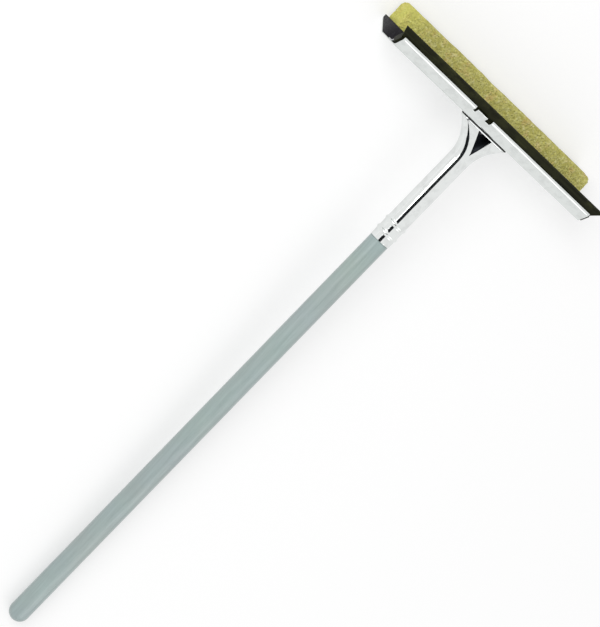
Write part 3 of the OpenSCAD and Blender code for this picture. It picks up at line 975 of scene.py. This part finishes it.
class SCRUBBER_OT_blade(bpy.types.Operator):
    """Builds the rubber blade with its root and its slanting ends."""

    bl_idname = "scrubber.blade"
    bl_label = "Blade"

    def execute(self, context):
        s = sizes()
        low, step, blade, root = s.root_u - s.root_w, s.root_u, s.blade_t / 2, s.root_t / 2
        corners = [(low, -root), (low, root), (step, root), (step, blade), (s.blade_reach, blade),
                   (s.blade_reach, -blade), (step, -blade), (step, -root)]
        columns, edge_r, wave_h = 130, 0.25, 0.12
        outline = rounded(corners, edge_r, 3)
        slant = step + s.blade_gap
        points = []
        for i in range(columns + 1):
            share = 2 * i / columns - 1
            for u, v in outline:
                rise = max(0.0, (u - slant) / (s.blade_reach - slant))
                over = s.root_over + (s.blade_over - s.root_over) * rise
                x = share * (s.channel_len / 2 + over)
                bend = noise.noise(Vector((x * 0.035, 3.1, 0.4)))
                wave = wave_h * bend * max(0.0, u) / s.blade_reach
                points.append((x, *pocket(s, u, v + wave)))
        count = len(outline)
        caps = [list(range(count)), list(range(columns * count, (columns + 1) * count))[::-1]]
        piece = new_piece("squeegee_rubber", points, tube_faces(columns + 1, count) + caps)
        fix_faces(piece)
        finish_piece(baked(piece), "blade_rubber", "blade", "blade")
        return {"FINISHED"}


def foam_tree():
    """Geometry nodes that roughen a block into open-cell foam."""
    tree, start, end = group_tree(
        "Foam surface", "GeometryNodeTree",
        [("Geometry", "NodeSocketGeometry", None), ("Cell Scale", "NodeSocketFloat", 420.0),
         ("Cell Depth", "NodeSocketFloat", 0.0009), ("Swell Scale", "NodeSocketFloat", 45.0),
         ("Swell", "NodeSocketFloat", 0.0022), ("Finish", "NodeSocketMaterial", None)],
        [("Geometry", "NodeSocketGeometry")])
    given = start.outputs
    where = node(tree, "GeometryNodeInputPosition").outputs["Position"]
    out = node(tree, "GeometryNodeInputNormal").outputs["Normal"]
    pore = ranged(tree, cells(tree, where, given["Cell Scale"]), 0.1, 0.6, -1.0, 0.0)
    pit = maths(tree, "MULTIPLY", pore, given["Cell Depth"])
    swell = cloud(tree, where, given["Swell Scale"]).outputs["Fac"]
    rise = maths(tree, "MULTIPLY", maths(tree, "ADD", swell, -0.75), given["Swell"])
    shift = node(tree, "ShaderNodeVectorMath", {0: out, "Scale": maths(tree, "ADD", pit, rise)},
                 operation="SCALE")
    moved = node(tree, "GeometryNodeSetPosition",
                 {"Geometry": given["Geometry"], "Offset": shift.outputs["Vector"]})
    coated = node(tree, "GeometryNodeSetMaterial",
                  {"Geometry": moved.outputs["Geometry"], "Material": given["Finish"]})
    feed(tree, end, {"Geometry": coated.outputs["Geometry"]})
    return tree


class SCRUBBER_OT_sponge(bpy.types.Operator):
    """Builds the foam block from its solid: remeshed, eased at its edges and roughened."""

    bl_idname = "scrubber.sponge"
    bl_label = "Sponge"

    def execute(self, context):
        mesh = frame["nodes"]["sponge"].data.copy()
        mesh.name = "foam_block"
        piece = placed("foam_block", mesh)
        fix_faces(piece)
        remesh = piece.modifiers.new("Remesh", "REMESH")
        remesh.mode = "VOXEL"
        remesh.voxel_size = 0.65 * MM
        ease = piece.modifiers.new("Ease", "SMOOTH")
        ease.factor = 0.5
        ease.iterations = 5
        rough = piece.modifiers.new("Foam", "NODES")
        rough.node_group = foam_tree()
        set_inputs(rough, {"Finish": finish_of("sponge_foam")})
        baked(piece, 180)
        finish_piece(piece, "sponge_foam", "tool", "sponge")
        return {"FINISHED"}


def plug_outline(s):
    """An end plug's plate: it closes the channel behind the blade's pocket."""
    gap, base = s.plug_gap, s.sheet_t + s.plug_gap
    jaw_back = -s.wall_v - s.sheet_t / 2 - gap
    jaw_end = s.jaw_base_n - s.sheet_t / 2 - gap
    lip_n = s.back_n + s.sheet_t / 2 + gap
    top = s.sheet_t / 2 + s.back_rise + s.back_lip
    shelf = s.jaw_floor + gap
    return [(base, jaw_end), (shelf, jaw_end), pocket_at(s, shelf, jaw_back),
            pocket_at(s, top, jaw_back), (top, lip_n), (wall_h(s, lip_n, gap), lip_n),
            (base, wall_n(s, base, gap))]


def plug_boss(s):
    """The boss that holds an end plug between the jaw strip and the retainer."""
    retainer_face = s.retainer_n + s.retainer_t / 2 + s.plug_gap
    base = s.jaw_floor + s.plug_gap
    jaw_back = -s.wall_v - s.sheet_t / 2 - 2 * s.plug_gap
    return [(base, retainer_face), pocket_at(s, base, jaw_back),
            pocket_at(s, s.plug_boss_top, jaw_back), (s.plug_boss_top, retainer_face)]


class SCRUBBER_OT_plugs(bpy.types.Operator):
    """Builds the two end plugs, each a plate with a boss behind it."""

    bl_idname = "scrubber.plugs"
    bl_label = "End plugs"

    def execute(self, context):
        s = sizes()
        for side, name in ((-1, "left_end_plug"), (1, "right_end_plug")):
            outer = side * s.channel_len / 2
            inner = outer - side * s.plug_t
            root = outer - side * s.plug_t / 2
            plate = prism(name + "_plate", plug_outline(s), across, (outer, inner), 0.3)
            tip = inner - side * s.plug_depth
            boss = prism(name + "_boss", plug_boss(s), across, (root, tip), 0.4)
            piece = baked(joined([plate, boss], name + "_cap"))
            finish_piece(piece, "plug_plastic", "tool", name)
        return {"FINISHED"}


def area_lamp(name, place, size, watts):
    """A square lamp that shines at the tool's middle."""
    data = bpy.data.lights.new(name, "AREA")
    data.size = size
    data.energy = watts
    lamp = placed(name, data)
    lamp.location = place
    aim = Vector((0, 0.05, 0.03)) - lamp.location
    lamp.rotation_euler = aim.to_track_quat("-Z", "Y").to_euler()


def seen_directly(tree):
    """1 for rays from the camera, off gloss or through glass, 0 for the rest."""
    path = node(tree, "ShaderNodeLightPath").outputs
    first = maths(tree, "MAXIMUM", path["Is Camera Ray"], path["Is Glossy Ray"])
    return maths(tree, "MAXIMUM", first, path["Is Transmission Ray"])


def floor_material():
    """A pale matt floor that glows a little to the eye, so it is white but keeps a shadow."""
    material, tree, surface, where = new_material("floor")
    away = node(tree, "ShaderNodeVectorMath", {0: where}, operation="LENGTH").outputs["Value"]
    level = ranged(tree, away, 0.9, 2.6, 0.45, 0.66, smooth=True)
    glow = maths(tree, "MULTIPLY", seen_directly(tree), level)
    feed(tree, surface, {"Base Color": (0.6, 0.6, 0.6, 1), "Roughness": 0.9,
                         "Specular IOR Level": 0.0, "Emission Color": (1, 1, 1, 1),
                         "Emission Strength": glow})
    return material


def white_world(sky):
    """White to the eye and to gloss, and a softer white as a light."""
    world = bpy.data.worlds.new("Studio")
    tree = plain_tree(world)
    strength = ranged(tree, seen_directly(tree), 0.0, 1.0, sky, 1.0)
    back = node(tree, "ShaderNodeBackground", {"Color": (1, 1, 1, 1), "Strength": strength})
    node(tree, "ShaderNodeOutputWorld", {"Surface": back.outputs["Background"]})
    bpy.context.scene.world = world


def dark_flag(place, size):
    """A black flag by the camera, seen only in gloss, that draws the dark line on the plating."""
    material = bpy.data.materials.new("flag")
    tree = plain_tree(material)
    black = node(tree, "ShaderNodeEmission", {"Color": (0.012, 0.014, 0.016, 1), "Strength": 1.0})
    node(tree, "ShaderNodeOutputMaterial", {"Surface": black.outputs["Emission"]})
    out = (place - laid(0, -40, 0)).normalized()
    along = (ALONG - out * ALONG.dot(out)).normalized()
    wide = along.cross(out)
    mesh = bpy.data.meshes.new("flag")
    corners = [place + a * size[0] / 2 * wide + b * size[1] / 2 * along
               for a, b in ((-1, -1), (1, -1), (1, 1), (-1, 1))]
    mesh.from_pydata(corners, [], [(0, 1, 2, 3)])
    flag = placed("flag", mesh)
    mesh.materials.append(material)
    flag.visible_camera = False
    flag.visible_diffuse = False
    flag.visible_shadow = False
    flag.visible_transmission = False


def photograph_camera():
    """The camera at the photograph's viewing angle."""
    data = bpy.data.cameras.new("Camera")
    data.sensor_fit = "HORIZONTAL"
    data.sensor_width = SENSOR_MM
    data.lens = CAMERA_FOCAL_PX / IMAGE_PX[0] * SENSOR_MM
    data.shift_x = (IMAGE_PX[0] / 2 - CAMERA_CENTRE_PX[0]) / IMAGE_PX[0]
    data.shift_y = (CAMERA_CENTRE_PX[1] - IMAGE_PX[1] / 2) / IMAGE_PX[0]
    data.clip_end = 50
    camera = placed("Camera", data)
    camera.location = laid(*CAMERA_AT)
    back = (camera.location - laid(*CAMERA_AIM)).normalized()
    level = ALONG.cross(back).normalized()
    spin = Matrix.Rotation(math.radians(CAMERA_ROLL), 3, back)
    right = spin @ level
    camera.matrix_world = Matrix.Translation(camera.location) @ Matrix(
        (right, back.cross(right), back)).transposed().to_4x4()
    bpy.context.scene.camera = camera
    return camera


class SCRUBBER_OT_stage(bpy.types.Operator):
    """Sets the pale floor, the soft lamps, the white surroundings and the camera."""

    bl_idname = "scrubber.stage"
    bl_label = "Stage"

    def execute(self, context):
        view = looks()
        mesh = bpy.data.meshes.new("floor")
        with edited(mesh) as work:
            bmesh.ops.create_grid(work, x_segments=2, y_segments=2, size=6)
        floor = placed("floor", mesh)
        mesh.materials.append(floor_material())
        area_lamp("key", (-1.3, 0.5, 1.3), 1.1, view.key_watts)
        area_lamp("fill", (0.9, -0.9, 1.4), 1.2, view.fill_watts)
        white_world(view.sky)
        camera = photograph_camera()
        dark_flag(camera.location.copy(), (1.0, 2.0))
        context.scene.view_settings.view_transform = "Standard"
        return {"FINISHED"}


PIECES = (SCRUBBER_OT_handle, SCRUBBER_OT_neck, SCRUBBER_OT_foot, SCRUBBER_OT_channel,
          SCRUBBER_OT_strips, SCRUBBER_OT_blade, SCRUBBER_OT_sponge, SCRUBBER_OT_plugs,
          SCRUBBER_OT_stage)


class SCRUBBER_PT_sidebar(bpy.types.Panel):
    """Lists the pieces, the sizes and the looks."""

    bl_idname = "SCRUBBER_PT_sidebar"
    bl_label = "Window scrubber"
    bl_space_type = "VIEW_3D"
    bl_region_type = "UI"
    bl_category = "Scrubber"

    def draw(self, context):
        for operator in PIECES:
            self.layout.operator(operator.bl_idname)
        for group in (context.scene.scrubber_looks, context.scene.scrubber_sizes):
            for name in type(group).__annotations__:
                self.layout.prop(group, name)


CLASSES = (ScrubberSizes, ScrubberLooks, *PIECES, SCRUBBER_PT_sidebar)


def register():
    for cls in CLASSES:
        bpy.utils.register_class(cls)
    bpy.types.Scene.scrubber_sizes = PointerProperty(type=ScrubberSizes)
    bpy.types.Scene.scrubber_looks = PointerProperty(type=ScrubberLooks)


def unregister():
    del bpy.types.Scene.scrubber_looks
    del bpy.types.Scene.scrubber_sizes
    for cls in reversed(CLASSES):
        bpy.utils.unregister_class(cls)


def main():
    register()
    for operator in PIECES:
        category, name = operator.bl_idname.split(".")
        getattr(getattr(bpy.ops, category), name)()


if __name__ == "__main__":
    main()
